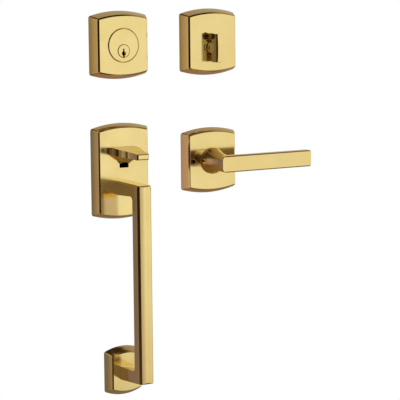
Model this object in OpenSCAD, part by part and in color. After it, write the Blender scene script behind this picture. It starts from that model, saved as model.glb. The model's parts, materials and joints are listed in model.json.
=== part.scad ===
// Entry door handleset, laid out on one door face: deadbolt cylinder trim, deadbolt thumbturn trim,
// outside grip handle with thumb piece, and inside lever.
// Millimetres. X runs across the door, Y into the door, Z up. Every trim faces -Y, its back at Y = 0.
// The origin is where the latch axis of the grip handle meets the door face.

/* [Layout] */
// Height of the deadbolt axis above the latch axis
bolt_axis_z = 114.7; // [112:0.1:150]
// Distance from the outside column to the inside column
column_x = 101.5; // [98:0.5:200]
// Drop of the deadbolt axis below the middle of its rose
axis_drop = 5.5; // [4:0.1:6]
// Drop of the escutcheon's middle below the latch axis
escutcheon_drop = 4.5; // [3:0.1:6]
// Drop of the lower rose's middle below the latch axis
lower_rose_drop = 206.5; // [190:0.5:240]

/* [Roses] */
// Width of a rose at the door
rose_w = 64; // [62:0.5:70]
// Height of a rose at its crown
rose_h = 67; // [66:0.1:74]
// Rise of the arched top and bottom from corner to crown
arch_rise = 4.8; // [3:0.1:6]
// Depth of the deadbolt roses
bolt_rose_depth = 12; // [11:0.5:14]
// Depth of the escutcheon and the lever rose
rose_depth = 9.5; // [9:0.5:12]
// How far the side walls lean in towards the front
side_lean = 4.5; // [3:0.1:5]
// How far the arched walls of the deadbolt roses lean in towards the front
bolt_arch_lean = 3.5; // [2:0.1:5]
// How far the arched walls of the escutcheon and the lever rose lean in
arch_lean = 3; // [2:0.1:4]
// Radius of the upright corners
corner_r = 3; // [1:0.5:4]
// Bevel round the front face
face_bevel = 1.5; // [0.8:0.1:1.6]
// Wall thickness of the forged covers
cover_wall = 1.8; // [1.5:0.1:2.2]
// Height of the tall escutcheon at its crown
escutcheon_h = 95.4; // [92:0.5:110]

/* [Lower rose] */
// Width of the lower rose
lower_w = 42; // [39:0.5:48]
// Height of the lower rose
lower_h = 50; // [47:0.5:56]
// Rise of the lower rose's arches
lower_rise = 4.8; // [3:0.1:5.5]
// Depth of the lower rose
lower_depth = 10; // [9:0.5:12]
// How far its arched walls lean in towards the front
lower_arch_lean = 4.5; // [3:0.1:5.5]
// Side of the square mounting plate in the lower rose
lower_plate_w = 24; // [20:0.5:26]

/* [Lock cylinder] */
// Radius of the cylinder's round face
face_r = 16.4; // [16:0.1:18]
// How far the cylinder's face stands out of its rose
face_proud = 0.5; // [0.2:0.1:1]
// Radius of the flange behind the rose
flange_r = 23.4; // [23.2:0.1:23.8]
// Thickness of that flange
flange_t = 3; // [2:0.1:3.4]
// Radius of the key plug
plug_r = 6.35; // [6:0.05:6.5]
// Length of the cylinder body behind the door face
body_back = 17; // [16:0.5:24]
// Wall of the barrel round the plug
barrel_wall = 3; // [2:0.1:4]
// Width of the housing over the pin chambers
bible_w = 10; // [8:0.1:10]
// Height of that housing above the plug axis
bible_h = 17.6; // [16.5:0.1:19]
// Number of pin chambers
pin_count = 5; // [4:1:6]
// Spacing of the pin chambers
pin_pitch = 3.96; // [3.8:0.02:4]
// Distance from the cylinder's face to the first chamber
first_pin = 8.5; // [8:0.1:9]
// Radius of a pin chamber
chamber_r = 1.5; // [1.3:0.05:1.6]
// Width of the keyway
keyway_w = 1.9; // [1.6:0.1:2.4]
// Reach of the keyway above the plug axis
keyway_top = 2.3; // [2:0.1:3]
// Radius of the round key entry
key_entry_r = 2.3; // [2:0.1:2.6]
// Width of the flat tailpiece
tail_w = 6.4; // [5:0.1:7]
// Thickness of the flat tailpiece
tail_t = 2.2; // [1.6:0.1:3]
// Reach of the tailpiece behind the door face
tail_back = 44; // [40:1:60]

/* [Through screws] */
// Sideways distance of the deadbolt's screws from its axis
bolt_screw_x = 8.4; // [8.2:0.1:9]
// Height of the deadbolt's screws from its axis
bolt_screw_z = 11.9; // [11:0.1:12.2]
// Radius of the deadbolt's screws
bolt_screw_r = 2; // [1.6:0.1:2.2]
// Sideways distance of the lever's screws from the latch axis
latch_screw_x = 22.5; // [22:0.1:23]
// Radius of the lever's screws
latch_screw_r = 2; // [1.6:0.1:2.2]
// Reach of the deadbolt's screws behind the door face
bolt_screw_back = 33; // [28:1:45]
// Reach of the lever's screws behind the door face
lever_screw_back = 12; // [10:1:45]
// Reach of the cylinder's tapped legs behind the door face
leg_back = 12; // [10:0.5:15]
// Reach of the escutcheon's tapped posts behind the door face
post_back = 9; // [7:0.5:15]
// Reach of the lower stud behind the door face
stud_back = 24; // [16:1:40]

/* [Thumbturn] */
// Width of the thumbturn bar
turn_w = 8.8; // [8:0.1:10]
// Height of the thumbturn bar
turn_h = 28.3; // [26:0.1:32]
// Depth of the thumbturn bar
turn_d = 11; // [9:0.1:12]
// Distance from the rose's face to the bar's front
turn_reach = 16; // [15.5:0.1:19]
// Bulge of the bar's front from its ends to its middle
turn_crown = 0.4; // [0.2:0.1:1.4]
// Radius of the thumbturn's round stem
turn_stem_r = 7; // [6.5:0.1:7.4]

/* [Thumb piece] */
// Width of the thumb piece at the escutcheon
thumb_w = 26.8; // [24:0.1:30]
// Width of the thumb piece at its tip
thumb_tip_w = 13.2; // [11:0.1:15]
// Distance from the door face to the thumb piece's tip
thumb_reach = 50; // [44:0.5:52]
// Thickness of the thumb piece
thumb_t = 5.8; // [5:0.1:6.5]
// Height of its underside above the latch axis at the escutcheon
thumb_z = 12.9; // [12:0.1:14]
// How far it slopes down from the escutcheon to the tip
thumb_slope = 2.4; // [1:0.1:3]
// Crown across its top
thumb_crown = 1.6; // [1:0.1:2]
// Width of the stem that goes through the slot
stem_w = 9.6; // [8:0.1:11]
// Height of the stem's underside above the latch axis
stem_z = 4; // [3.6:0.1:5]
// Distance of the pivot behind the door face
pivot_y = 4; // [3:0.1:5]
// Height of the pivot above the latch axis
pivot_z = 6; // [5.5:0.1:7]
// Radius of the pivot pin
pivot_r = 1.5; // [1.2:0.1:1.8]
// Reach of the lifting tail behind the door face
thumb_tail = 40; // [36:1:50]

/* [Grip] */
// Width of the grip
grip_w = 15.5; // [14:0.1:18]
// Distance from the door face to the grip's front
grip_reach = 52.7; // [48:0.1:60]
// Thickness of the grip bar
grip_t = 12.5; // [11:0.1:14]
// Drop of the upper post's top below the latch axis
grip_top = 13.3; // [12:0.1:15]
// Height of the upper post at the escutcheon
upper_post_h = 14; // [13:0.1:15]
// Height of the lower post at its rose
lower_post_h = 14; // [12:0.1:15]
// Drop of the lower post's middle below its rose's middle
lower_post_drop = 0.8; // [0:0.1:2]
// Taper of each post towards the grip
post_taper = 1.6; // [0.5:0.1:2]
// Rise of the grip's underside from the lower rose to the grip's front
foot_rise = 3; // [0.5:0.1:4]
// Radius along the lower and upper edges of the grip's ends
grip_corner = 2.5; // [1:0.5:3]
// Fillet in the grip's inner corners
grip_fillet = 4; // [3:0.1:6]
// Radius of the bolts that hold the grip
grip_bolt_r = 3; // [2.5:0.1:3.4]

/* [Lever] */
// Length of the blade from the latch axis to its end
blade_l = 94.5; // [85:0.5:110]
// Overhang of the blade behind the latch axis
blade_heel = 10.6; // [9:0.1:12]
// Height of the blade
blade_h = 16.8; // [15:0.1:20]
// Thickness of the blade
blade_t = 8.5; // [7:0.1:10]
// Distance from the rose's face to the blade's front
blade_reach = 38.6; // [34:0.1:45]
// Radius of the hub where it meets the rose
hub_r = 13.3; // [12:0.1:14]
// Radius of the neck at the blade
neck_r = 8; // [7.5:0.1:8.2]
// Radius of the shank that turns in the rose
shank_r = 8.9; // [8.6:0.1:9.5]
// Side of the square spindle
spindle_w = 8; // [7:0.1:8]
// Reach of the spindle behind the door face
spindle_back = 42; // [38:1:60]

/* [Clearances] */
// Gap round the cylinder face and round screws in plain holes
gap = 0.3; // [0.2:0.05:0.4]
// Radial gap of a turning fit
run_fit = 0.06; // [0.03:0.01:0.1]
// Gap between faces that slide past each other
face_gap = 0.25; // [0.2:0.05:0.4]

/* [Hidden] */
$fn = 64;
arch_fn = 360;
arc_step = 15;
over = 1;

// Colours
brass = [0.90, 0.78, 0.45];
satin_brass = [0.80, 0.68, 0.38];
steel = [0.66, 0.67, 0.69];
spring_steel = [0.42, 0.43, 0.46];
dark_brass = [0.40, 0.28, 0.14];
nylon = [0.10, 0.10, 0.11];

// Places worked out from the layout
bolt_rose_z = bolt_axis_z + axis_drop;
lower_post_z = -lower_rose_drop - lower_post_drop;
arch_r = (rose_w * rose_w / 4 + arch_rise * arch_rise) / (2 * arch_rise);
lower_arch_r = (lower_w * lower_w / 4 + lower_rise * lower_rise) / (2 * lower_rise);

// Depths measured from the door face towards the viewer
bolt_inner = bolt_rose_depth - cover_wall;
rose_inner = rose_depth - cover_wall;
rose_bevel = face_bevel * 0.8;
lower_inner = lower_depth - cover_wall;
cylinder_front = bolt_rose_depth + face_proud;
plug_front = cylinder_front + 0.3;
flange_back = bolt_inner - flange_t;
turn_front = bolt_rose_depth + turn_reach;
blade_front = rose_depth + blade_reach;

// Pin stack sizes above the plug axis
pin_r = chamber_r - 0.08;
key_pin_top = sqrt(plug_r * plug_r - chamber_r * chamber_r) - 0.05;
key_pin_lengths = [5.2, 6.6, 5.8, 7.0, 5.4, 6.2];
driver_low = plug_r + 0.12;
driver_l = 4.6;
pin_cover_t = 1;
spring_top = bible_h - pin_cover_t - 0.1;
spring_low = driver_low + driver_l + 0.1;
chamber_floor = -1.4;

// Screws, nuts and clips
tap_ratio = 0.82;
head_r = 3.3;
head_h = 2.2;
sink = 1.1;
cross_w = 0.9;
cross_d = 1.2;
latch_hole_r = 2.5;
latch_head_r = latch_hole_r - 0.15;
latch_sink = 1.4;
bracket_screw_r = 1.5;
set_screw_r = 1.9;
set_screw_l = 5.3;
set_screw_y = 6;
nut_h = 3.4;
nut_r = 5.6;
clip_t = 1;
clip_play = 0.1;

// Plates, legs and posts
plate_t = 1.6;
leg_r = 3.6;
post_r = 4.2;
post_seat = rose_inner - 3.2;
post_boss_wall = 0.6;
grip_pad_w = 18;
grip_pad_t = 2;
plug_cap_t = 3;
tail_notch_r = 0.4;
tail_notch_pitch = 6;

// Thumbturn mechanism
turn_plate_w = 46;
turn_plate_h = 44;
turn_plate_front = bolt_inner - 4;
turn_plate_back = turn_plate_front - plate_t;
turn_leg_h = 24;
turn_bevel_w = 1.2;
turn_bevel_d = 1.7;
turn_neck_r = turn_stem_r - 2;
turn_groove_r = turn_stem_r - 2.8;
washer_t = 0.8;
turn_clip_front = turn_plate_back - washer_t - 0.4;
turn_square = 5;
turn_spindle_r = 5;
turn_spindle_back = 14;
tail_slot_gap = 0.6;

// Thumb piece and its bracket
thumb_gap = 0.45;
tip_corner = 1.8;
gusset_bend = 8;
gusset_rise = 3.2;
gusset_reach = 19;
gusset_side = 3;
eye_r = 4.2;
tail_bend = 8;
tail_slim = 2;
slot_low = -0.5;
slot_side = 0.25;
slot_corner = 0.8;
liner_t = 0.8;
liner_back = 8.3;
liner_rear_h = 2.1;
ear_t = 1.6;
ear_x = stem_w / 2 + face_gap + liner_t;
ear_h = 12;
ear_back = 3.5;
bracket_w = 32;
bracket_rim = 4;
bracket_screw_x = 13;
spring_w = 4.4;
spring_wire_r = 0.4;

// Grip and lever
grip_bevel = 2;
grip_crown = 0.4;
bolt_bite = 16;
blade_bevel = 1.2;
blade_back_bevel = 0.6;
heel_r = 5;
tip_r = 1.8;
hub_band = 1.6;
socket_d = 14;
bushing_t = 1.4;
bushing_rim = 1.6;
lever_groove_r = shank_r - 0.9;
lever_clip_front = rose_inner - bushing_t - 0.4;
lever_plate_w = 54;
lever_plate_h = 30;
screw_tube_r = 3.4;
stop_r = 1.5;
drive_plate_r = shank_r + 3.1;
drive_arm_w = 7;
drive_arm_h = 16;

// Rounded outlines: each corner is [x, y, radius]
function unit(v) = v / norm(v);
function xy(p) = [p[0], p[1]];
function arc_at(a, b, c, r) = r <= 0 ? [b] :
    let (u = unit(a - b), v = unit(c - b),
        half = acos(max(-1, min(1, u * v))) / 2,
        mid = b + unit(u + v) * r / sin(half),
        p = b + u * r / tan(half) - mid,
        q = b + v * r / tan(half) - mid,
        start = atan2(p[1], p[0]),
        turn = atan2(p[0] * q[1] - p[1] * q[0], p * q),
        n = max(2, ceil(abs(turn) / arc_step)))
    [for (i = [0:n]) mid + r * [cos(start + turn * i / n), sin(start + turn * i / n)]];
function rounded(pts) = let (n = len(pts))
    [for (i = [0:n - 1])
        each arc_at(xy(pts[(i + n - 1) % n]), xy(pts[i]), xy(pts[(i + 1) % n]), pts[i][2])];

// Flat outline in X and Z, from depth front to depth back (both measured towards the viewer)
module slab(front, back) {
    translate([0, -back, 0]) rotate([90, 0, 0]) linear_extrude(front - back) children();
}

// Round bar along the depth
module rod(r, front, back, x = 0, z = 0) {
    translate([x, -back, z]) rotate([90, 0, 0]) cylinder(r = r, h = front - back);
}

// Solid of revolution about the depth axis, from points of radius and depth
module turned(points, fn = 96) {
    rotate([90, 0, 0]) rotate_extrude($fn = fn) polygon(points);
}

// Outline of depth and height, drawn across a width in X
module side_cut(width, x = 0) {
    translate([x + width / 2, 0, 0]) rotate([90, 0, -90]) linear_extrude(width) children();
}

module rect(w, h) {
    square([w, h], center = true);
}

// Corners of a rectangle about the origin, all with one radius
function box_corners(w, h, r) = [for (s = [[-1, -1], [1, -1], [1, 1], [-1, 1]])
    [s[0] * w / 2, s[1] * h / 2, r]];

// Wire coil about the Z axis, standing on Z = 0
module coil(r, wire, height, turns, sides = 6, steps = 14) {
    n = round(turns * steps);
    rise = (height - 2 * wire) / n;
    ring = [for (i = [0:n]) for (j = [0:sides - 1])
        let (a = 360 * i / steps, b = 360 * j / sides, d = r + wire * cos(b))
        [d * cos(a), d * sin(a), wire + rise * i + wire * sin(b)]];
    walls = [for (i = [0:n - 1]) for (j = [0:sides - 1])
        let (k = (j + 1) % sides, a = i * sides, b = (i + 1) * sides)
        each [[a + j, b + j, b + k], [a + j, b + k, a + k]]];
    low_end = [for (j = [0:sides - 1]) j];
    high_end = [for (j = [sides - 1:-1:0]) n * sides + j];
    polyhedron(points = ring, faces = concat([low_end], walls, [high_end]), convexity = 8);
}

// Block with leaning straight sides, leaning arched top and bottom, and a bevelled front
module arched_block(w, h, r, depth, lean, bevel, back = 0) {
    side_w = w / 2 - side_lean;
    intersection() {
        translate([0, 0, -h]) linear_extrude(2 * h) polygon([[-w / 2, back], [-w / 2, 0],
            [-side_w, bevel - depth], [bevel - side_w, -depth], [side_w - bevel, -depth],
            [side_w, bevel - depth], [w / 2, 0], [w / 2, back]]);
        for_both_arches(h / 2 - r) turned([[0, -back], [r, -back], [r, 0],
            [r - lean, depth - bevel], [r - lean - bevel, depth], [0, depth]], arch_fn);
    }
}

// Crossing of the same shape placed low for the top arch and high for the bottom arch
module for_both_arches(z) {
    intersection() {
        translate([0, 0, z]) children();
        translate([0, 0, -z]) children();
    }
}

// The same block with its four upright corners rounded along their leaning edges
module rounded_block(w, h, r, depth, lean, bevel) {
    intersection() {
        arched_block(w, h, r, depth, lean, bevel);
        corner_wedge(w, h, r, depth - bevel, lean);
        mirror([1, 0, 0]) corner_wedge(w, h, r, depth - bevel, lean);
        mirror([0, 0, 1]) corner_wedge(w, h, r, depth - bevel, lean);
        mirror([1, 0, 0]) mirror([0, 0, 1]) corner_wedge(w, h, r, depth - bevel, lean);
    }
}

// Big wedge along the upper right corner's edge, tangent to both walls, with its own edge rounded
module corner_wedge(w, h, r, d, lean) {
    side_tilt = atan(side_lean / d);
    arch_tilt = atan(lean / d);
    bearing = asin(w / 2 / r);
    pitch = atan((cos(side_tilt) * sin(arch_tilt) - sin(side_tilt) * sin(bearing) * cos(arch_tilt))
        / (cos(bearing) * cos(arch_tilt)));
    slope = asin(sin(bearing) * cos(arch_tilt) * cos(side_tilt) + sin(arch_tilt) * sin(side_tilt));
    reach = 2 * (w + h);
    translate([w / 2, 0, h / 2 - r + r * cos(bearing)]) rotate([pitch, 0, -side_tilt])
        slab(reach / 2, -reach / 2) polygon(rounded([[reach * sin(1), -reach, 0], [0, 0, corner_r],
            [-reach * cos(slope), reach * sin(slope), 0], [-reach, -reach, 0]]));
}

// Hollow cover of that form, open at the door
module arched_cover(w, h, r, depth, lean, bevel) {
    difference() {
        rounded_block(w, h, r, depth, lean, bevel);
        arched_block(w - 2 * cover_wall, h - 2 * cover_wall, r - cover_wall, depth - cover_wall,
            lean, bevel, over);
    }
}

// Hole through a cover's front with a broken edge
module cover_hole(r, depth, break_edge = 0.4) {
    turned([[0, depth - cover_wall - over], [r, depth - cover_wall - over], [r, depth - break_edge],
        [r + break_edge + over, depth + over], [0, depth + over]]);
}

// Machine screw with a countersunk head and a crossed recess, standing in a sunk hole
module long_screw(r, front, back) {
    difference() {
        turned([[0, back], [r - 0.4, back], [r, back + 0.6], [r, front - sink - head_h],
            [head_r, front - sink], [head_r * 0.7, front - sink + 0.5], [0, front - sink + 0.6]], 48);
        crossed_recess(front - sink + 0.6, head_r);
    }
}

// Crossed recess in a screw's head
module crossed_recess(front, r) {
    for (a = [0, 90]) rotate([0, a, 0]) translate([0, -front, 0])
        cube([r * 1.15, 2 * cross_d, cross_w], center = true);
}

// The two deadbolt screw places seen from one side of the door: side = 1 outside, -1 inside
module bolt_screw_places(side) {
    for (s = [1, -1]) translate([side * s * bolt_screw_x, 0, s * bolt_screw_z]) children();
}

module at_bolt_axis() {
    translate([0, 0, bolt_axis_z]) children();
}

module at_turn_axis() {
    translate([column_x, 0, bolt_axis_z]) children();
}

module at_lever() {
    translate([column_x, 0, 0]) children();
}

module at_lower_rose() {
    translate([0, 0, -lower_rose_drop]) children();
}

// Outside deadbolt trim

module deadbolt_cover() {
    color(brass) translate([0, 0, bolt_rose_z]) difference() {
        arched_cover(rose_w, rose_h, arch_r, bolt_rose_depth, bolt_arch_lean, face_bevel);
        cover_hole(face_r + gap, bolt_rose_depth);
    }
}

module pin_places() {
    for (i = [0:pin_count - 1])
        translate([0, first_pin - cylinder_front + i * pin_pitch, 0]) children();
}

module cylinder_body() {
    color(satin_brass) difference() {
        union() {
            translate([0, 0, bolt_rose_z]) turned([[0, flange_back], [flange_r, flange_back],
                [flange_r, bolt_inner], [face_r, bolt_inner], [face_r, cylinder_front - 0.5],
                [face_r - 0.5, cylinder_front], [0, cylinder_front]]);
            at_bolt_axis() {
                rod(plug_r + barrel_wall, flange_back, -body_back);
                translate([-bible_w / 2, -flange_back, 0])
                    cube([bible_w, flange_back + body_back, bible_h]);
                bolt_screw_places(1) rod(leg_r, flange_back, -leg_back);
            }
        }
        at_bolt_axis() {
            rod(plug_r + run_fit, cylinder_front + over, -body_back - over);
            turned([[0, cylinder_front - 0.4], [plug_r + run_fit, cylinder_front - 0.4],
                [plug_r + run_fit + 0.4 + over, cylinder_front + over], [0, cylinder_front + over]]);
            pin_places() cylinder(r = chamber_r, h = bible_h + over);
            bolt_screw_places(1) rod(bolt_screw_r * tap_ratio, 0, -leg_back - over);
            // groove for the strip that closes the pin chambers
            translate([-bible_w / 2 + 1.5, -flange_back - over, bible_h - pin_cover_t])
                cube([bible_w - 3, flange_back + body_back + 2 * over, pin_cover_t + over]);
        }
    }
}

module keyway(front, back) {
    entry_z = -plug_r * 0.38;
    // warded slot, open through the bottom of the plug
    slab(front + over, back - over) polygon([[-keyway_w / 2, -plug_r - over],
        [keyway_w / 2, -plug_r - over], [keyway_w / 2, -3.6], [keyway_w / 2 + 0.6, -3.2],
        [keyway_w / 2 + 0.6, -1.6], [keyway_w / 2 - 0.4, -1.2], [keyway_w / 2 - 0.4, keyway_top],
        [-keyway_w / 2, keyway_top], [-keyway_w / 2, 0.4], [0.1 - keyway_w / 2, 0],
        [-keyway_w / 2 - 0.5, -2], [-keyway_w / 2 - 0.5, -3], [-keyway_w / 2, -3.6]]);
    // round countersunk entry that guides the key
    translate([0, 0, entry_z]) turned([[0, front - 1.6], [key_entry_r - 1, front - 1.6],
        [key_entry_r, front - 0.3], [key_entry_r, front + over], [0, front + over]], 48);
}

module key_plug() {
    color(brass) at_bolt_axis() difference() {
        turned([[0, -body_back], [plug_r, -body_back], [plug_r, plug_front - 0.4],
            [plug_r - 0.4, plug_front], [0, plug_front]]);
        keyway(plug_front, -body_back + 4);
        pin_places() translate([0, 0, chamber_floor]) cylinder(r = chamber_r, h = plug_r + 3);
    }
}

module key_pins() {
    color(satin_brass) at_bolt_axis() for (i = [0:pin_count - 1])
        translate([0, first_pin - cylinder_front + i * pin_pitch, 0])
            rotate_extrude($fn = 32) polygon([[0, key_pin_top - key_pin_lengths[i]],
                [pin_r * 0.45, key_pin_top - key_pin_lengths[i]],
                [pin_r, key_pin_top - key_pin_lengths[i] + 0.9], [pin_r, key_pin_top], [0, key_pin_top]]);
}

module driver_pins() {
    color(steel) at_bolt_axis() pin_places() translate([0, 0, driver_low])
        cylinder(r = pin_r, h = driver_l, $fn = 32);
}

module pin_springs() {
    color(spring_steel) at_bolt_axis() pin_places() translate([0, 0, spring_low])
        coil(pin_r - 0.3, 0.2, spring_top - spring_low, 4, 5, 8);
}

module pin_cover() {
    color(satin_brass) at_bolt_axis()
        translate([-bible_w / 2 + 1.5, -flange_back, bible_h - pin_cover_t])
            cube([bible_w - 3, flange_back + body_back, pin_cover_t]);
}

module plug_cap() {
    cap_back = body_back + plug_cap_t;
    color(satin_brass) at_bolt_axis() difference() {
        turned([[0, -cap_back], [plug_r + 1.6, -cap_back], [plug_r + 2, 0.4 - cap_back],
            [plug_r + 2, -body_back - face_gap], [plug_r, -body_back - face_gap],
            [plug_r, -body_back], [0, -body_back]]);
        slab(over - body_back, -cap_back - over) rect(tail_w, tail_t);
    }
}

module tailpiece() {
    color(steel) at_bolt_axis() difference() {
        translate([-tail_w / 2, body_back, -tail_t / 2]) cube([tail_w, tail_back - body_back, tail_t]);
        // break-off notches that let it be cut to the door's thickness
        for (i = [1, 2]) for (s = [1, -1])
            translate([0, tail_back - i * tail_notch_pitch, s * tail_t / 2]) rotate([0, 90, 0])
                cylinder(r = tail_notch_r, h = tail_w + over, center = true, $fn = 16);
    }
}

// Inside deadbolt trim

module turn_cover() {
    color(brass) difference() {
        translate([column_x, 0, bolt_rose_z])
            arched_cover(rose_w, rose_h, arch_r, bolt_rose_depth, bolt_arch_lean, face_bevel);
        at_turn_axis() {
            cover_hole(turn_stem_r + gap, bolt_rose_depth);
            bolt_screw_places(-1) screw_seat(bolt_rose_depth, bolt_screw_r);
        }
    }
}

// Countersunk hole that takes a long screw's head
module screw_seat(depth, r) {
    turned([[0, -over], [r + gap, -over], [r + gap, depth - sink - head_h],
        [head_r + gap, depth - sink], [head_r + gap, depth + over], [0, depth + over]], 48);
}

module turn_screws() {
    color(dark_brass) at_turn_axis() bolt_screw_places(-1)
        long_screw(bolt_screw_r, bolt_rose_depth, -bolt_screw_back);
}

module turn_plate() {
    leg_x = turn_plate_w / 2 - plate_t;
    color(steel) at_turn_axis() difference() {
        union() {
            slab(turn_plate_front, turn_plate_back) translate([0, 2])
                polygon(rounded(box_corners(turn_plate_w, turn_plate_h, 6)));
            // bent legs that reach back to the door
            for (x = [leg_x, -leg_x - plate_t]) translate([x, -turn_plate_back, 2 - turn_leg_h / 2])
                cube([plate_t, turn_plate_back, turn_leg_h]);
        }
        rod(turn_neck_r + run_fit, bolt_inner, -over);
        bolt_screw_places(-1) rod(bolt_screw_r + gap, bolt_inner, -over);
    }
}

module thumbturn() {
    bar_back = turn_front - turn_d;
    side_x = turn_w / 2;
    end_z = turn_h / 2;
    color(brass) at_turn_axis() difference() {
        union() {
            intersection() {
                // crowned front seen from the side
                side_cut(turn_w) polygon(concat([[bar_back, 1 - end_z], [bar_back, end_z - 1],
                    [bar_back + 1, end_z]],
                    [for (i = [6:-1:-6]) let (t = i / 6) [turn_front - turn_crown * t * t, t * end_z]],
                    [[bar_back + 1, -end_z]]));
                // bevelled long edges seen from above
                translate([0, 0, -turn_h]) linear_extrude(2 * turn_h) polygon([[-side_x, -bar_back],
                    [-side_x, turn_bevel_d - turn_front], [turn_bevel_w - side_x, -turn_front],
                    [side_x - turn_bevel_w, -turn_front], [side_x, turn_bevel_d - turn_front],
                    [side_x, -bar_back]]);
            }
            rod(turn_stem_r, bar_back + over, turn_plate_front + face_gap);
            rod(turn_neck_r, turn_plate_front + over, turn_clip_front - clip_t - 0.8);
        }
        // groove for the retaining clip
        difference() {
            rod(turn_stem_r, turn_clip_front + clip_play, turn_clip_front - clip_t - clip_play);
            rod(turn_groove_r, turn_plate_front, 0);
        }
        // socket for the drive spindle
        slab(turn_plate_front, 0) rect(turn_square + 0.1, turn_square + 0.1);
    }
}

module turn_washer() {
    color(nylon) at_turn_axis() difference() {
        rod(turn_stem_r, turn_plate_back, turn_plate_back - washer_t);
        rod(turn_neck_r + 0.1, turn_plate_front, 0);
    }
}

module turn_clip() {
    color(spring_steel) at_turn_axis() difference() {
        rod(turn_stem_r - 0.4, turn_clip_front, turn_clip_front - clip_t);
        rod(turn_groove_r + 0.02, bolt_inner, 0);
        slab(turn_clip_front + over, 0) translate([0, -turn_stem_r])
            rect(turn_groove_r * 1.3, 2 * turn_stem_r - 1);
    }
}

module turn_spindle() {
    color(steel) at_turn_axis() difference() {
        union() {
            slab(turn_plate_front - 0.3, 0) rect(turn_square, turn_square);
            rod(turn_spindle_r, 0, -turn_spindle_back);
        }
        // slot that takes the outside trim's flat tailpiece
        slab(-2, -turn_spindle_back - over) rect(tail_t + tail_slot_gap, tail_w + tail_slot_gap);
    }
}

// Outside grip handle

module escutcheon() {
    color(brass) difference() {
        union() {
            translate([0, 0, -escutcheon_drop])
                arched_cover(rose_w, escutcheon_h, arch_r, rose_depth, arch_lean, rose_bevel);
            // pad that carries the grip's bolt, and bosses that carry the tapped posts
            slab(rose_inner + over / 2, rose_inner - grip_pad_t) translate([0, grip_bolt_z()])
                rect(grip_pad_w, grip_pad_w);
            for (s = [1, -1])
                rod(post_r + post_boss_wall, rose_inner + over / 2, post_seat, s * latch_screw_x);
        }
        // slot for the thumb piece
        slab(rose_depth + over, rose_inner - over) polygon(rounded(slot_corners()));
        rod(grip_bolt_r + gap, rose_depth + over, -over, 0, grip_bolt_z());
        for (s = [1, -1]) rod(bracket_screw_r * tap_ratio, rose_inner + 1.2, -over,
            s * bracket_screw_x, pivot_z);
    }
}

function grip_bolt_z() = -grip_top - upper_post_h / 2;
function slot_corners() = let (w = stem_w / 2 + slot_side, top = thumb_z + 2)
    [for (c = [[-w, slot_low], [w, slot_low], [w, top], [-w, top]]) concat(c, slot_corner)];

// Thumb piece seen from above, from half width and distance out
function thumb_half(t) = thumb_tip_w / 2
    + (thumb_w - thumb_tip_w) / 2 * (t < 0.5 ? 1 - 2 * t * t : 2 * (1 - t) * (1 - t));

module thumb_lever() {
    root = rose_depth + thumb_gap;
    reach = thumb_reach - root;
    steps = 10;
    tip_z = thumb_z - thumb_slope;
    side_x = thumb_w / 2 - gusset_side;
    color(brass) difference() {
        union() {
            intersection() {
                // curved outline seen from above, with rounded tip corners
                linear_extrude(4 * thumb_z, center = true) polygon(rounded(concat(
                    [for (i = [0:steps])
                        [-thumb_half(i / steps), -root - reach * i / steps, i == steps ? tip_corner : 0]],
                    [for (i = [steps:-1:0])
                        [thumb_half(i / steps), -root - reach * i / steps, i == steps ? tip_corner : 0]])));
                // sloping, softly ended section seen from the side
                side_cut(thumb_w + 2) polygon(rounded([[root, thumb_z, 0.5], [thumb_reach, tip_z, 1.2],
                    [thumb_reach, tip_z + thumb_t, 1.5], [root, thumb_z + thumb_t + thumb_crown, 0.5]]));
                // crowned across the top
                translate([0, 0, thumb_z + thumb_t + thumb_crown - crown_r()])
                    rotate([90 + thumb_angle(), 0, 0])
                        cylinder(r = crown_r(), h = 3 * thumb_reach, center = true, $fn = 256);
            }
            // gusset under the pad, narrowing to the stem
            intersection() {
                side_cut(thumb_w) polygon(rounded([[root, stem_z, 0.3], [root + 2, stem_z, 0.8],
                    [root + gusset_bend, stem_z + gusset_rise, 5],
                    [root + gusset_reach, thumb_z + 0.4, 0], [root, thumb_z + 1, 0]]));
                slab(thumb_reach, root - over) polygon([[-stem_w / 2, stem_z - over],
                    [stem_w / 2, stem_z - over], [stem_w / 2, stem_z + 2], [side_x, thumb_z + 0.1],
                    [side_x, thumb_z + 2], [-side_x, thumb_z + 2], [-side_x, thumb_z + 0.1],
                    [-stem_w / 2, stem_z + 2]]);
            }
            // stem through the slot, pivot eye and lifting tail
            side_cut(stem_w) polygon(rounded([[root + 1.5, stem_z, 0.3], [root + 1.5, thumb_z + 1, 0.3],
                [-pivot_y, pivot_z + eye_r, 3], [-pivot_y - tail_bend, pivot_z + 2, 4],
                [-thumb_tail, pivot_z + 1, 1], [-thumb_tail, pivot_z - 2, 1],
                [-pivot_y - tail_bend, pivot_z - 3, 4], [-pivot_y, pivot_z - eye_r, 3]]));
        }
        translate([0, pivot_y, pivot_z]) rotate([0, 90, 0])
            cylinder(r = pivot_r + run_fit, h = thumb_w, center = true);
        // the tail is slimmer than the stem
        for (s = [1, -1])
            translate([s * (stem_w - tail_slim), pivot_y + tail_bend + 1 + thumb_tail / 2, pivot_z])
                cube([stem_w, thumb_tail, thumb_tail], center = true);
    }
}

function crown_r() = (thumb_w * thumb_w / 4 + thumb_crown * thumb_crown) / (2 * thumb_crown);
function thumb_angle() = -atan((thumb_slope + thumb_crown) / (thumb_reach - rose_depth - thumb_gap));

module thumb_pivot() {
    color(steel) translate([-ear_x - ear_t, pivot_y, pivot_z]) rotate([0, 90, 0])
        cylinder(r = pivot_r, h = 2 * (ear_x + ear_t) + spring_w + 0.6);
}

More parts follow.
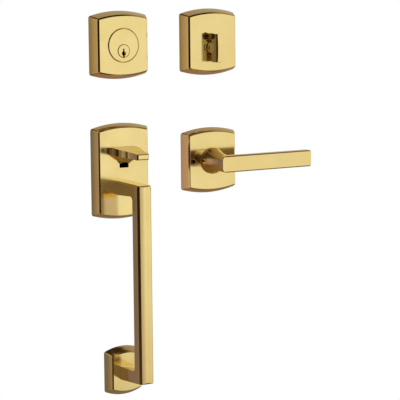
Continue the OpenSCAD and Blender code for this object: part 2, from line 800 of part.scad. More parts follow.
module thumb_bracket() {
    color(steel) difference() {
        union() {
            // base on the back of the escutcheon's face
            slab(rose_inner, rose_inner - plate_t) bracket_outline(bracket_w, bracket_rim);
            for (s = [1, -1]) side_cut(ear_t, s * (ear_x + ear_t / 2)) polygon(rounded(
                [[rose_inner - 0.1, pivot_z - ear_h / 2, 0], [rose_inner - 0.1, pivot_z + ear_h / 2, 0],
                [-pivot_y - ear_back, pivot_z + 4, 3.4], [-pivot_y - ear_back, pivot_z - 4, 3.4]]));
        }
        // window for the liner and the stem
        slab(rose_depth, rose_inner - 2 * plate_t) bracket_outline(2 * ear_x, 0);
        translate([0, pivot_y, pivot_z]) rotate([0, 90, 0])
            cylinder(r = pivot_r, h = bracket_w, center = true);
        for (s = [1, -1]) rod(bracket_screw_r + gap / 2, rose_depth, 0, s * bracket_screw_x, pivot_z);
    }
}

// Rectangle round the slot, with a rim above and below it
module bracket_outline(w, rim) {
    low = slot_low - liner_t - rim;
    translate([-w / 2, low]) square([w, thumb_z + 2.4 + rim - low]);
}

// Dark liner that closes the slot round the stem: two cheeks, a floor and a low rear wall
module slot_liner() {
    color(nylon) difference() {
        side_cut(2 * ear_x) polygon([[rose_inner, slot_low - liner_t], [rose_inner, pivot_z + ear_h / 2],
            [-pivot_y, pivot_z + ear_h / 2], [-liner_back, pivot_z], [-liner_back, slot_low - liner_t]]);
        side_cut(2 * (ear_x - liner_t)) polygon([[rose_depth, slot_low], [rose_depth, 2 * ear_h],
            [-liner_back - over, 2 * ear_h], [-liner_back - over, liner_rear_h],
            [liner_t - liner_back, liner_rear_h], [liner_t - liner_back, slot_low]]);
        translate([0, pivot_y, pivot_z]) rotate([0, 90, 0])
            cylinder(r = pivot_r, h = bracket_w, center = true);
    }
}

module bracket_screws() {
    color(steel) for (s = [1, -1]) translate([s * bracket_screw_x, 0, pivot_z])
        turned([[0, rose_inner + 1], [bracket_screw_r * tap_ratio, rose_inner + 1],
            [bracket_screw_r * tap_ratio, rose_inner - plate_t], [2.6, rose_inner - plate_t],
            [2.4, rose_inner - plate_t - 1.4], [0, rose_inner - plate_t - 1.7]], 32);
}

// Torsion spring beside the bracket, on the long end of the pivot pin
module thumb_spring() {
    color(spring_steel) translate([ear_x + ear_t + 0.2, pivot_y, pivot_z]) rotate([0, 90, 0])
        coil(pivot_r + 0.8, spring_wire_r, spring_w, 4, 6, 14);
}

// C-shaped grip: side profile crossed with its section seen from above and with two rounded ends
module grip() {
    inner = grip_reach - grip_t;
    top = -grip_top;
    foot = lower_post_z - lower_post_h / 2;
    side_x = grip_w / 2;
    edge = grip_reach - grip_bevel - grip_crown;
    color(brass) difference() {
        intersection() {
            side_cut(grip_w) polygon(rounded([[rose_depth, top, 0], [grip_reach, top - post_taper * 0.6, 2],
                [grip_reach, foot + foot_rise, 2], [lower_depth, foot, 0],
                [lower_depth, foot + lower_post_h, 0],
                [inner, foot + lower_post_h + post_taper * 0.4, grip_fillet],
                [inner, top - upper_post_h + post_taper, grip_fillet],
                [rose_depth, top - upper_post_h, 0]]));
            translate([0, 0, foot - over]) linear_extrude(top - foot + 2 * over) polygon(concat(
                [[-side_x, 0], [-side_x, -edge]],
                [for (i = [-4:4]) let (t = i / 4)
                    [t * (side_x - grip_bevel), grip_crown * t * t - grip_reach]],
                [[side_x, -edge], [side_x, 0]]));
            translate([0, -lower_depth, foot])
                rotate([-atan(foot_rise / (grip_reach - lower_depth)), 0, 0]) grip_end();
            translate([0, -rose_depth, top])
                rotate([-atan(post_taper * 0.6 / (grip_reach - rose_depth)), 180, 0]) grip_end();
        }
        rod(grip_bolt_r, rose_depth + bolt_bite + 2, 0, 0, grip_bolt_z());
        rod(grip_bolt_r, lower_depth + bolt_bite + 2, 0, 0, lower_post_z);
    }
}

// Long prism with its two lower edges rounded, for the ends of the grip
module grip_end() {
    side_x = grip_w / 2 + 0.1;
    slab(2 * grip_reach, -2 * grip_reach) polygon(rounded([[-side_x, -0.1, grip_corner],
        [side_x, -0.1, grip_corner], [side_x, 2 * lower_rose_drop, 0],
        [-side_x, 2 * lower_rose_drop, 0]]));
}

module grip_bolt() {
    seat = rose_inner - grip_pad_t;
    head_back = seat - 3.6;
    color(steel) translate([0, 0, grip_bolt_z()]) difference() {
        turned([[0, rose_depth + bolt_bite], [grip_bolt_r - 0.1, rose_depth + bolt_bite],
            [grip_bolt_r - 0.1, seat], [grip_bolt_r * 1.9, seat], [grip_bolt_r * 1.9, head_back + 0.4],
            [grip_bolt_r * 1.7, head_back], [0, head_back]]);
        // hexagon socket
        slab(seat - 1, head_back - over) circle(r = grip_bolt_r * 0.95, $fn = 6);
    }
}

// Tapped posts behind the escutcheon that take the inside trim's long screws
module escutcheon_posts() {
    color(satin_brass) for (s = [1, -1]) translate([s * latch_screw_x, 0, 0]) difference() {
        turned([[0, -post_back], [post_r - 0.5, -post_back], [post_r, 0.5 - post_back],
            [post_r, post_seat], [0, post_seat]]);
        rod(latch_screw_r * tap_ratio, post_seat - 1, -post_back - over);
    }
}

module lower_rose() {
    color(brass) difference() {
        at_lower_rose()
            arched_cover(lower_w, lower_h, lower_arch_r, lower_depth, lower_arch_lean, rose_bevel);
        rod(grip_bolt_r + gap, lower_depth + over, 0, 0, lower_post_z);
    }
}

module lower_plate() {
    color(steel) translate([0, 0, lower_post_z]) difference() {
        slab(lower_inner, lower_inner - plate_t)
            polygon(rounded(box_corners(lower_plate_w, lower_plate_w, 3)));
        rod(grip_bolt_r + gap, lower_depth, 0);
    }
}

module lower_bolt() {
    color(steel) translate([0, 0, lower_post_z]) turned([[0, lower_depth + bolt_bite],
        [grip_bolt_r - 0.1, lower_depth + bolt_bite], [grip_bolt_r - 0.1, 0.8 - stud_back],
        [grip_bolt_r - 0.9, -stud_back], [0, -stud_back]]);
}

module lower_nut() {
    front = lower_inner - plate_t;
    back = front - nut_h;
    color(steel) translate([0, 0, lower_post_z]) difference() {
        intersection() {
            slab(front, back) circle(r = nut_r, $fn = 6);
            turned([[0, front], [nut_r, front], [nut_r, back + 0.6], [nut_r - 0.9, back], [0, back]]);
        }
        rod(grip_bolt_r, lower_inner, -over);
    }
}

// Inside lever

module lever_cover() {
    color(brass) at_lever() difference() {
        arched_cover(rose_w, rose_h, arch_r, rose_depth, arch_lean, rose_bevel);
        cover_hole(shank_r + bushing_t + 0.05, rose_depth, 0.2);
        for (s = [1, -1]) rod(latch_hole_r, rose_depth + over, 0, s * latch_screw_x);
    }
}

module lever_bushing() {
    rim_back = rose_inner - bushing_t;
    bush_r = shank_r + bushing_t;
    color(nylon) at_lever() difference() {
        turned([[0, rim_back], [bush_r + bushing_rim, rim_back], [bush_r + bushing_rim, rose_inner],
            [bush_r, rose_inner], [bush_r, rose_depth - 0.2], [0, rose_depth - 0.2]]);
        rod(shank_r + run_fit, rose_depth + over, 0);
    }
}

module lever_handle() {
    back = blade_front - blade_t;
    foot = rose_depth + face_gap;
    neck_foot = foot + hub_band;
    half_h = blade_h / 2;
    color(brass) at_lever() difference() {
        union() {
            intersection() {
                slab(blade_front, back) polygon(rounded([[-blade_heel, -half_h, heel_r],
                    [blade_l, -half_h, tip_r], [blade_l, half_h, tip_r], [-blade_heel, half_h, heel_r]]));
                side_cut(3 * blade_l) polygon([[back, blade_back_bevel - half_h],
                    [back + blade_back_bevel, -half_h], [blade_front - blade_bevel, -half_h],
                    [blade_front, blade_bevel - half_h], [blade_front, half_h - blade_bevel],
                    [blade_front - blade_bevel, half_h], [back + blade_back_bevel, half_h],
                    [back, half_h - blade_back_bevel]]);
            }
            // trumpet-shaped neck
            turned(concat([[0, foot], [hub_r - 0.5, foot], [hub_r, foot + 0.5], [hub_r, neck_foot]],
                [for (i = [1:8]) let (t = i / 8)
                    [neck_r + (hub_r - neck_r) * pow(1 - t, 2), neck_foot + t * (back - neck_foot)]],
                [[neck_r, back + blade_t / 2], [0, back + blade_t / 2]]));
            rod(shank_r, foot + over, 0);
        }
        // square socket and set screw hole
        slab(foot + socket_d, -over) rect(spindle_w + 0.1, spindle_w + 0.1);
        translate([0, -foot - set_screw_y, -hub_r - over]) cylinder(r = set_screw_r + 0.1, h = hub_r);
        // groove for the retaining clip
        difference() {
            rod(shank_r + over, lever_clip_front + clip_play, lever_clip_front - clip_t - clip_play);
            rod(lever_groove_r, foot, -over);
        }
    }
}

module lever_clip() {
    color(spring_steel) at_lever() difference() {
        rod(shank_r + 1.6, lever_clip_front, lever_clip_front - clip_t);
        rod(lever_groove_r + 0.02, rose_depth, 0);
        slab(rose_depth, 0) translate([0, -shank_r]) rect(lever_groove_r * 1.4, lever_groove_r);
    }
}

module lever_set_screw() {
    low = -spindle_w / 2 - 0.2 - set_screw_l;
    color(spring_steel) at_lever() translate([0, -rose_depth - face_gap - set_screw_y, low]) difference() {
        cylinder(r = set_screw_r, h = set_screw_l);
        translate([0, 0, -over]) cylinder(r = set_screw_r * 0.6, h = set_screw_l / 2 + over, $fn = 6);
    }
}

module lever_spindle() {
    color(steel) at_lever() slab(rose_depth + 12, -spindle_back)
        polygon(rounded(box_corners(spindle_w, spindle_w, 0.6)));
}

// Mounting plate with tubes for the screws and a stop for the spring
module lever_plate() {
    color(steel) at_lever() difference() {
        union() {
            slab(plate_t, 0) polygon(rounded(box_corners(lever_plate_w, lever_plate_h, 5)));
            for (s = [1, -1]) rod(screw_tube_r, rose_inner - 2.5, 0, s * latch_screw_x);
            rod(stop_r, plate_t + 2.6, 0, 0, 2 - lever_plate_h / 2);
        }
        rod(shank_r + 0.6, rose_depth, -over);
        for (s = [1, -1]) rod(latch_screw_r + gap, rose_depth, -over, s * latch_screw_x);
    }
}

// Arm fixed on the spindle behind the plate, with the tab that works the spring
module drive_plate() {
    color(steel) at_lever() difference() {
        slab(-face_gap, -face_gap - plate_t) {
            circle(r = drive_plate_r);
            translate([0, drive_arm_h / 2]) rect(drive_arm_w, drive_arm_h);
        }
        slab(rose_depth, -face_gap - plate_t - over) rect(spindle_w, spindle_w);
    }
}

module lever_spring() {
    color(spring_steel) at_lever() translate([0, -plate_t - 0.1, 0]) rotate([90, 0, 0])
        coil(shank_r + 1.9, spring_wire_r, 2.9, 2, 6, 24);
}

module lever_screws() {
    head_front = rose_depth - latch_sink;
    color(dark_brass) at_lever() for (s = [1, -1]) translate([s * latch_screw_x, 0, 0]) difference() {
        turned([[0, -lever_screw_back], [latch_screw_r - 0.5, -lever_screw_back],
            [latch_screw_r, 0.6 - lever_screw_back], [latch_screw_r, rose_inner - 2],
            [latch_head_r, rose_inner - 2], [latch_head_r, head_front - 0.5],
            [latch_head_r - 0.4, head_front], [0, head_front + 0.1]], 48);
        crossed_recess(head_front, latch_head_r);
    }
}

deadbolt_cover();
cylinder_body();
key_plug();
key_pins();
driver_pins();
pin_springs();
pin_cover();
plug_cap();
tailpiece();
turn_cover();
turn_plate();
thumbturn();
turn_spindle();
turn_clip();
turn_washer();
turn_screws();
escutcheon();
thumb_lever();
thumb_pivot();
thumb_bracket();
slot_liner();
bracket_screws();
thumb_spring();
grip();
grip_bolt();
escutcheon_posts();
lower_rose();
lower_plate();
lower_bolt();
lower_nut();
lever_cover();
lever_handle();
lever_bushing();
lever_spindle();
lever_set_screw();
lever_plate();
lever_spring();
drive_plate();
lever_clip();
lever_screws();
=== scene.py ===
"""Looks for a polished brass entry door handleset: four trims laid out on one door face."""
import json
import math

import bpy
from mathutils import Matrix, Vector


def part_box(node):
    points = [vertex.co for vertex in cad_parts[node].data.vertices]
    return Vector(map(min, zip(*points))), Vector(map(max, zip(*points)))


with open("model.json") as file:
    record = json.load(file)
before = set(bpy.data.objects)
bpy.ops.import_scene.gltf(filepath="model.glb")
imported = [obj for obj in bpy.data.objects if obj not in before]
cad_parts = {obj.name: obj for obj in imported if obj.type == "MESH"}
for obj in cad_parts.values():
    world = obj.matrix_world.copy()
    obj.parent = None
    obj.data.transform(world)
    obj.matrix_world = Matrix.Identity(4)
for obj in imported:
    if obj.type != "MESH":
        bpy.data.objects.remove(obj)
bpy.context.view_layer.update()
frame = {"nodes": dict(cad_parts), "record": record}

MM = 0.001
IMAGE_PIXELS = 400

# Camera, from a fit to the photograph's corners
CAMERA_AZIMUTH = -30.1
CAMERA_ELEVATION = 7.64
CAMERA_ROLL = -0.54
CAMERA_DISTANCE = 1.84
CAMERA_FOCAL_PIXELS = 1801
CAMERA_TARGET = Vector((0.0919, 0.0, -0.0408))
SENSOR_MM = 36.0

# Colours, linear. A metal or plastic varies faintly between its light and its deep tone
BRASS_LIGHT = (0.90, 0.735, 0.315, 1)
BRASS_DEEP = (0.86, 0.685, 0.275, 1)
# Painted shade: the colour of the faces towards the door, darkened as if in the shade of the gap before the
# door
BRASS_BACK_PAINTED_SHADE = (0.34, 0.25, 0.135, 1)
SATIN_BRASS_LIGHT = (0.66, 0.50, 0.20, 1)
SATIN_BRASS_DEEP = (0.58, 0.43, 0.17, 1)
STEEL_LIGHT = (0.56, 0.57, 0.58, 1)
STEEL_DEEP = (0.50, 0.51, 0.54, 1)
SPRING_STEEL_LIGHT = (0.20, 0.20, 0.21, 1)
SPRING_STEEL_DEEP = (0.14, 0.14, 0.16, 1)
# Painted shade: the screw heads' brass darkened as if in the shadow of their recessed holes
SCREW_PAINTED_SHADE_LIGHT = (0.19, 0.115, 0.05, 1)
SCREW_PAINTED_SHADE_DEEP = (0.14, 0.085, 0.04, 1)
NYLON_LIGHT = (0.012, 0.012, 0.013, 1)
NYLON_DEEP = (0.0108, 0.0108, 0.0117, 1)
FLOOR_COLOUR = (0.8, 0.78, 0.75, 1)
WHITE = (1, 1, 1, 1)

# Roughness, from the glossiest spots to the dullest
POLISHED = (0.10, 0.17)
SATIN = (0.28, 0.40)
PLATED = (0.30, 0.42)
OILED = (0.30, 0.45)
BURNISHED = (0.20, 0.32)
MOULDED = (0.42, 0.58)
BACK_ROUGHNESS = 0.45
FLOOR_ROUGHNESS = 0.9

# How often a pattern repeats in a metre along X, Y and Z
TONE_PATTERN = (35, 35, 35)
SMUDGE_PATTERN = (60, 60, 90)
SCRATCHES_ALONG_Z = (900, 900, 40)
TURNING_MARKS = (1500, 60, 1500)
DRAWING_MARKS = (600, 120, 600)
MOULD_TONE_PATTERN = (200, 200, 200)
MOULD_GLOSS_PATTERN = (400, 400, 400)
MOULD_SKIN_PATTERN = (3000, 3000, 3000)
NOISE_SPREAD = (0.3, 0.7)
SCRATCH_DEPTH = 0.00005
SKIN_DEPTH = 0.0001
SKIN_STRENGTH = 0.1
# A face counts as a back, painted darker as shade, as its normal's Y part goes from the first value to the
# second
SHADED_BACK_FACING = (0.55, 0.85)

# Rounded edges, in millimetres
EDGE_MM = {"deadbolt_cover": 0.6, "turn_cover": 0.6, "escutcheon": 0.6, "lower_rose": 0.6, "lever_cover": 0.5,
           "grip": 0.35, "lever_handle": 0.3, "thumb_lever": 0.3, "thumbturn": 0.3, "cylinder_body": 0.12}
SMALL_EDGE_MM = 0.1
EDGE_SEGMENTS = 3
EDGE_ANGLE = 25
WELD_MM = 0.002
# Nodes whose edges keep their full width where they meet
FREE_EDGES = ("lever_cover",)
# Nodes whose back is left duller as cast and painted darker as shade towards the door
CAST_AND_SHADED_BACKS = ("thumbturn", "lever_handle")

# What the metal sees around it, by bearing in degrees: 0 is in front of the door, 90 is on its right
STUDIO_BANDS = [
    (-180, (0.86, 0.83, 0.80)),
    (-167, (0.62, 0.56, 0.52)),
    (-157, (0.22, 0.165, 0.19)),
    (-148, (0.22, 0.165, 0.19)),
    (-136, (0.26, 0.20, 0.21)),
    (-122, (0.02, 0.012, 0.006)),
    (-42, (0.02, 0.012, 0.006)),
    (-36, (0.22, 0.19, 0.26)),
    (-24, (0.22, 0.19, 0.26)),
    (-17, (0.02, 0.012, 0.006)),
    (-2, (0.05, 0.04, 0.03)),
    (19, (0.70, 0.64, 0.64)),
    (27, (1.0, 1.0, 1.0)),
    (31, (0.90, 0.87, 0.84)),
    (37, (0.90, 0.87, 0.84)),
    (50, (1.0, 1.0, 1.0)),
    (75, (1.0, 1.0, 1.0)),
    (110, (0.70, 0.62, 0.52)),
    (140, (0.55, 0.47, 0.40)),
    (165, (0.80, 0.76, 0.72)),
]
# What it sees above, by the sine of the height, and one colour for all that is below
OVERHEAD_BANDS = [
    (0.30, (0.46, 0.41, 0.34)),
    (0.60, (0.42, 0.36, 0.30)),
    (0.80, (0.37, 0.28, 0.26)),
    (0.88, (0.04, 0.025, 0.01)),
    (1.00, (0.03, 0.02, 0.01)),
]
BELOW = (0.31, 0.19, 0.14, 1)
# Where the bands around give way to the colours above and below, by the sine of the height
OVERHEAD_FROM = (0.22, 0.42)
BELOW_FROM = (-0.34, -0.20)
# How much of the colours above and below shows, by bearing: less of both on the left
OVERHEAD_SHARE = [(-180, 1.0), (-142, 1.0), (-124, 0.12), (-40, 0.12), (-5, 1.0)]
BELOW_SHARE = [(-180, 1.0), (-142, 1.0), (-124, 0.6), (-40, 0.6), (-5, 1.0)]

# Small cards left of each column, and what they show, by millimetres along Y
CARD_AWAY = 0.050
CARD_Y = (-0.0092, 0.008)
BOLT_CARD_Z = (0.068, 0.165)
LEFT_CARD_Z = (-0.27, 0.068)
UPPER_CARD_Z = (0.055, 0.165)
LOWER_CARD_Z = (-0.060, 0.055)
TURN_CARD_Y = (-0.112, -0.072)
TURN_CARD_Z = (0.070, 0.135)
BOLT_WALL_BANDS = [
    (-6, (0.60, 0.46, 0.42)),
    (-1, (0.46, 0.35, 0.27)),
    (4, (0.30, 0.23, 0.18)),
]
WALL_BANDS = [
    (-8, (0.47, 0.36, 0.36)),
    (-3.5, (0.36, 0.28, 0.25)),
    (1, (0.21, 0.17, 0.18)),
]
LEVER_WALL_BANDS = [
    (-8, (0.54, 0.37, 0.41)),
    (1, (0.46, 0.31, 0.35)),
]
TURN_BANDS = [
    (-110, (0.46, 0.47, 0.58)),
    (-95, (0.40, 0.41, 0.52)),
    (-90, (0.22, 0.20, 0.34)),
    (-74, (0.20, 0.18, 0.30)),
]
# The card behind the grip's front, and what it shows, by millimetres along Z
GRIP_CARD_BACK = 0.0135
GRIP_CARD_Z = (-0.192, -0.0335)
GRIP_BANDS = [
    (-190, (0.60, 0.54, 0.56)),
    (-40, (0.64, 0.56, 0.55)),
]

FLOOR_RADIUS = 0.45
FLOOR_Z = -0.45
FLOOR_SIDES = 96


def new_material(name):
    """A material, its node tree and its Principled shader."""
    mat = bpy.data.materials.new(name)
    mat.use_nodes = True
    return mat, mat.node_tree, mat.node_tree.nodes["Principled BSDF"]


def add_node(tree, kind, inputs=None, **settings):
    """A new node with its settings, and values for some inputs by name."""
    node = tree.nodes.new(kind)
    for key, value in settings.items():
        setattr(node, key, value)
    for key, value in (inputs or {}).items():
        node.inputs[key].default_value = value
    return node


def feed(tree, source, socket):
    """Links another node's output to an input, or sets the input to a plain value."""
    if isinstance(source, bpy.types.NodeSocket):
        tree.links.new(source, socket)
    else:
        socket.default_value = source


def split_axes(tree, space):
    """The X, Y and Z parts of a texture coordinate."""
    coords = add_node(tree, "ShaderNodeTexCoord")
    axes = add_node(tree, "ShaderNodeSeparateXYZ")
    tree.links.new(coords.outputs[space], axes.inputs["Vector"])
    return axes.outputs


def noise(tree, pattern, detail=3.0, rough=0.5):
    """Noise that repeats as often in a metre as the pattern says, along each axis."""
    coords = add_node(tree, "ShaderNodeTexCoord")
    mapping = add_node(tree, "ShaderNodeMapping", {"Scale": pattern})
    tree.links.new(coords.outputs["Object"], mapping.inputs["Vector"])
    node = add_node(tree, "ShaderNodeTexNoise", {"Scale": 1.0, "Detail": detail, "Roughness": rough})
    tree.links.new(mapping.outputs["Vector"], node.inputs["Vector"])
    return node.outputs["Fac"]


def mapped(tree, source, low, high, within=NOISE_SPREAD):
    """A value moved from the range it lies within to another one."""
    node = add_node(tree, "ShaderNodeMapRange", {"From Min": within[0], "From Max": within[1],
                                                 "To Min": low, "To Max": high})
    tree.links.new(source, node.inputs["Value"])
    return node.outputs["Result"]


def calculated(tree, operation, first, second):
    """Two values joined by a mathematical operation."""
    node = add_node(tree, "ShaderNodeMath", operation=operation)
    feed(tree, first, node.inputs[0])
    feed(tree, second, node.inputs[1])
    return node.outputs[0]


def blend(tree, factor, low, high, kind="RGBA"):
    """A colour or a number between two others, by a factor from 0 to 1."""
    node = add_node(tree, "ShaderNodeMix", data_type=kind)
    tree.links.new(factor, node.inputs["Factor"])
    feed(tree, low, node.inputs["A"])
    feed(tree, high, node.inputs["B"])
    return node.outputs["Result"]


def either(tree, factor, off, on):
    """One shader where the factor is 0, and another where it is 1."""
    node = add_node(tree, "ShaderNodeMixShader")
    tree.links.new(factor, node.inputs["Fac"])
    tree.links.new(off, node.inputs[1])
    tree.links.new(on, node.inputs[2])
    return node.outputs["Shader"]


def ramp(tree, source, stops):
    """A colour by a value from 0 to 1, smooth between (position, colour) pairs."""
    node = add_node(tree, "ShaderNodeValToRGB")
    band = node.color_ramp
    band.interpolation = "EASE"
    while len(band.elements) < len(stops):
        band.elements.new(0.5)
    for element, (position, colour) in zip(band.elements, stops):
        element.position = position
        element.color = (*colour, 1)
    tree.links.new(source, node.inputs["Fac"])
    return node.outputs["Color"]


def roughen(tree, shader, height, strength, depth):
    """Fine relief on a surface, from a pattern of heights."""
    bump = add_node(tree, "ShaderNodeBump", {"Strength": strength, "Distance": depth})
    tree.links.new(height, bump.inputs["Height"])
    tree.links.new(bump.outputs["Normal"], shader.inputs["Normal"])


def metal(name, light, deep, roughness, scratch=0.05, grain=SCRATCHES_ALONG_Z, back=None):
    """Metal with a faint change of tone, smudges in its gloss and fine scratches along one way.

    With a back colour, the faces towards the door are left duller as cast and painted darker, as shade in the
    gap before the door.
    """
    mat, tree, shader = new_material(name)
    shader.inputs["Metallic"].default_value = 1.0
    colour = blend(tree, mapped(tree, noise(tree, TONE_PATTERN), 0, 1), light, deep)
    gloss = mapped(tree, noise(tree, SMUDGE_PATTERN, detail=5, rough=0.6), *roughness)
    if back:
        # Painted shade: faces towards the door darkened as if in shade, and made duller as cast
        behind = mapped(tree, split_axes(tree, "Normal")["Y"], 0, 1, SHADED_BACK_FACING)
        colour = blend(tree, behind, colour, back)
        gloss = blend(tree, behind, gloss, BACK_ROUGHNESS, "FLOAT")
    tree.links.new(colour, shader.inputs["Base Color"])
    tree.links.new(gloss, shader.inputs["Roughness"])
    roughen(tree, shader, noise(tree, grain, detail=4, rough=0.65), scratch, SCRATCH_DEPTH)
    return mat


def moulded(name, light, deep):
    """Plain moulded plastic with a fine matt skin."""
    mat, tree, shader = new_material(name)
    tree.links.new(blend(tree, mapped(tree, noise(tree, MOULD_TONE_PATTERN), 0, 1), light, deep),
                   shader.inputs["Base Color"])
    tree.links.new(mapped(tree, noise(tree, MOULD_GLOSS_PATTERN), *MOULDED), shader.inputs["Roughness"])
    roughen(tree, shader, noise(tree, MOULD_SKIN_PATTERN), SKIN_STRENGTH, SKIN_DEPTH)
    return mat


MATERIALS = {
    "polished_brass": metal("polished_brass", BRASS_LIGHT, BRASS_DEEP, POLISHED),
    # Brass whose faces towards the door are painted darker as shade
    "cast_back_painted_shade": metal("cast_back_painted_shade", BRASS_LIGHT, BRASS_DEEP, POLISHED, back=BRASS_BACK_PAINTED_SHADE),
    "satin_brass": metal("satin_brass", SATIN_BRASS_LIGHT, SATIN_BRASS_DEEP, SATIN,
                         scratch=0.2, grain=TURNING_MARKS),
    "steel": metal("steel", STEEL_LIGHT, STEEL_DEEP, PLATED, scratch=0.15, grain=DRAWING_MARKS),
    "spring_steel": metal("spring_steel", SPRING_STEEL_LIGHT, SPRING_STEEL_DEEP, OILED, scratch=0.1),
    # The screws' brass, painted dark as shade in their recessed holes
    "dark_brass": metal("dark_brass", SCREW_PAINTED_SHADE_LIGHT, SCREW_PAINTED_SHADE_DEEP, BURNISHED, scratch=0.08),
    "nylon": moulded("nylon", NYLON_LIGHT, NYLON_DEEP),
}
SLOTS = {part["node"]: part["material_slot"] for part in frame["record"]["subparts"]}


def dress(node):
    """Rounds a CAD node's edges and gives it its slot's material."""
    obj = frame["nodes"][node]
    weld = obj.modifiers.new("weld", "WELD")
    weld.merge_threshold = WELD_MM * MM
    bevel = obj.modifiers.new("edge", "BEVEL")
    bevel.width = EDGE_MM.get(node, SMALL_EDGE_MM) * MM
    bevel.segments = EDGE_SEGMENTS
    bevel.limit_method = "ANGLE"
    bevel.angle_limit = math.radians(EDGE_ANGLE)
    bevel.use_clamp_overlap = node not in FREE_EDGES
    for slot in obj.material_slots:
        slot.link = "OBJECT"
        slot.material = MATERIALS["cast_back_painted_shade" if node in CAST_AND_SHADED_BACKS else SLOTS[node]]


def by_bearing(tree, around, stops):
    """A colour by bearing, from (degrees, colour) pairs, closed behind the door with the first one."""
    places = [((degrees + 180) / 360, colour) for degrees, colour in stops]
    return ramp(tree, around, places + [(1.0, stops[0][1])])


def shared(tree, around, factor, shares):
    """A factor made smaller by bearing, as the shares say."""
    share = by_bearing(tree, around, [(degrees, (value, value, value)) for degrees, value in shares])
    return calculated(tree, "MULTIPLY", factor, share)


def build_world():
    """A soft studio seen by the metal, and plain white behind the object."""
    world = bpy.data.worlds.new("studio")
    bpy.context.scene.world = world
    world.use_nodes = True
    tree = world.node_tree
    tree.nodes.clear()
    axes = split_axes(tree, "Generated")
    bearing = calculated(tree, "ARCTAN2", axes["X"], calculated(tree, "MULTIPLY", axes["Y"], -1))
    around = mapped(tree, bearing, 0, 1, (-math.pi, math.pi))
    sides = by_bearing(tree, around, STUDIO_BANDS)
    overhead = ramp(tree, axes["Z"], OVERHEAD_BANDS)
    raised = shared(tree, around, mapped(tree, axes["Z"], 0, 1, OVERHEAD_FROM), OVERHEAD_SHARE)
    lowered = shared(tree, around, mapped(tree, axes["Z"], 1, 0, BELOW_FROM), BELOW_SHARE)
    studio = add_node(tree, "ShaderNodeBackground")
    tree.links.new(blend(tree, lowered, blend(tree, raised, sides, overhead), BELOW), studio.inputs["Color"])
    plain = add_node(tree, "ShaderNodeBackground", {"Color": WHITE, "Strength": 1.0})
    path = add_node(tree, "ShaderNodeLightPath")
    look = either(tree, path.outputs["Is Camera Ray"],
                  studio.outputs["Background"], plain.outputs["Background"])
    output = add_node(tree, "ShaderNodeOutputWorld")
    tree.links.new(look, output.inputs["Surface"])


def build_floor():
    """A pale round floor well below the object, plain white to the camera."""
    bpy.ops.mesh.primitive_circle_add(vertices=FLOOR_SIDES, radius=FLOOR_RADIUS, fill_type="NGON",
                                      location=(CAMERA_TARGET.x, 0, FLOOR_Z))
    floor = bpy.context.object
    floor.name = "floor"
    mat, tree, shader = new_material("floor")
    shader.inputs["Base Color"].default_value = FLOOR_COLOUR
    shader.inputs["Roughness"].default_value = FLOOR_ROUGHNESS
    glow = add_node(tree, "ShaderNodeEmission", {"Color": WHITE, "Strength": 1.0})
    path = add_node(tree, "ShaderNodeLightPath")
    look = either(tree, path.outputs["Is Camera Ray"], shader.outputs["BSDF"], glow.outputs["Emission"])
    tree.links.new(look, tree.nodes["Material Output"].inputs["Surface"])
    floor.data.materials.append(mat)


def build_card(name, corners, axis, stops):
    """A lit card that only the metal sees, in bands along an axis, and nothing from its back."""
    mesh = bpy.data.meshes.new(name)
    mesh.from_pydata(corners, [], [(0, 1, 2, 3)])
    card = bpy.data.objects.new(name, mesh)
    bpy.context.collection.objects.link(card)
    card.visible_camera = False
    card.visible_shadow = False
    mat, tree, _ = new_material(name)
    tree.nodes.clear()
    along = [corner["XYZ".index(axis)] for corner in corners]
    low, high = min(along), max(along)
    place = mapped(tree, split_axes(tree, "Object")[axis], 0, 1, (low, high))
    glow = add_node(tree, "ShaderNodeEmission", {"Strength": 1.0})
    tree.links.new(ramp(tree, place, [((mm * MM - low) / (high - low), colour) for mm, colour in stops]),
                   glow.inputs["Color"])
    clear = add_node(tree, "ShaderNodeBsdfTransparent")
    side = add_node(tree, "ShaderNodeNewGeometry")
    look = either(tree, side.outputs["Backfacing"], glow.outputs["Emission"], clear.outputs["BSDF"])
    output = add_node(tree, "ShaderNodeOutputMaterial")
    tree.links.new(look, output.inputs["Surface"])
    mesh.materials.append(mat)


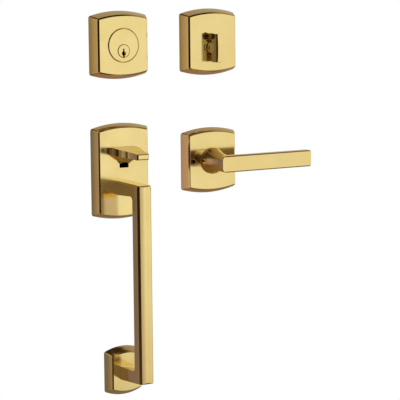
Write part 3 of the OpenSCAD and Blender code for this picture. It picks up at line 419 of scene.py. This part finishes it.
def wall_card(name, x, y_range, z_range, stops):
    """An upright card that faces +X, with its bands along Y."""
    (y_low, y_high), (z_low, z_high) = y_range, z_range
    build_card(name, [(x, y_low, z_low), (x, y_high, z_low), (x, y_high, z_high), (x, y_low, z_high)],
               "Y", stops)


def build_cards():
    """Cards left of each column, so that its walls don't mirror the other column, and one in the grip."""
    low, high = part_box("turn_cover")
    middle = (low[0] + high[0]) / 2 - CARD_AWAY
    wall_card("card_bolt", -CARD_AWAY, CARD_Y, BOLT_CARD_Z, BOLT_WALL_BANDS)
    wall_card("card_left", -CARD_AWAY, CARD_Y, LEFT_CARD_Z, WALL_BANDS)
    wall_card("card_upper", middle, CARD_Y, UPPER_CARD_Z, BOLT_WALL_BANDS)
    wall_card("card_lower", middle, CARD_Y, LOWER_CARD_Z, LEVER_WALL_BANDS)
    wall_card("card_turn", middle, TURN_CARD_Y, TURN_CARD_Z, TURN_BANDS)
    low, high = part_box("grip")
    y = low[1] + GRIP_CARD_BACK
    bottom, top = GRIP_CARD_Z
    build_card("card_grip", [(high[0], y, bottom), (low[0], y, bottom), (low[0], y, top), (high[0], y, top)],
               "Z", GRIP_BANDS)


def build_camera():
    """The photograph's viewing angle, with its slight roll."""
    a, e, r = (math.radians(v) for v in (CAMERA_AZIMUTH, CAMERA_ELEVATION, CAMERA_ROLL))
    back = Vector((math.sin(a) * math.cos(e), -math.cos(a) * math.cos(e), math.sin(e)))
    right = Vector((0, 0, 1)).cross(back).normalized()
    up = back.cross(right)
    right, up = (right * math.cos(r) + up * math.sin(r), up * math.cos(r) - right * math.sin(r))
    data = bpy.data.cameras.new("camera")
    data.lens = CAMERA_FOCAL_PIXELS * SENSOR_MM / IMAGE_PIXELS
    data.sensor_width = SENSOR_MM
    camera = bpy.data.objects.new("camera", data)
    turn = Matrix((right, up, back)).transposed().to_4x4()
    camera.matrix_world = Matrix.Translation(CAMERA_TARGET + back * CAMERA_DISTANCE) @ turn
    bpy.context.collection.objects.link(camera)
    bpy.context.scene.camera = camera


for node_name in frame["nodes"]:
    dress(node_name)
build_world()
build_floor()
build_cards()
build_camera()
bpy.context.scene.view_settings.view_transform = "Standard"
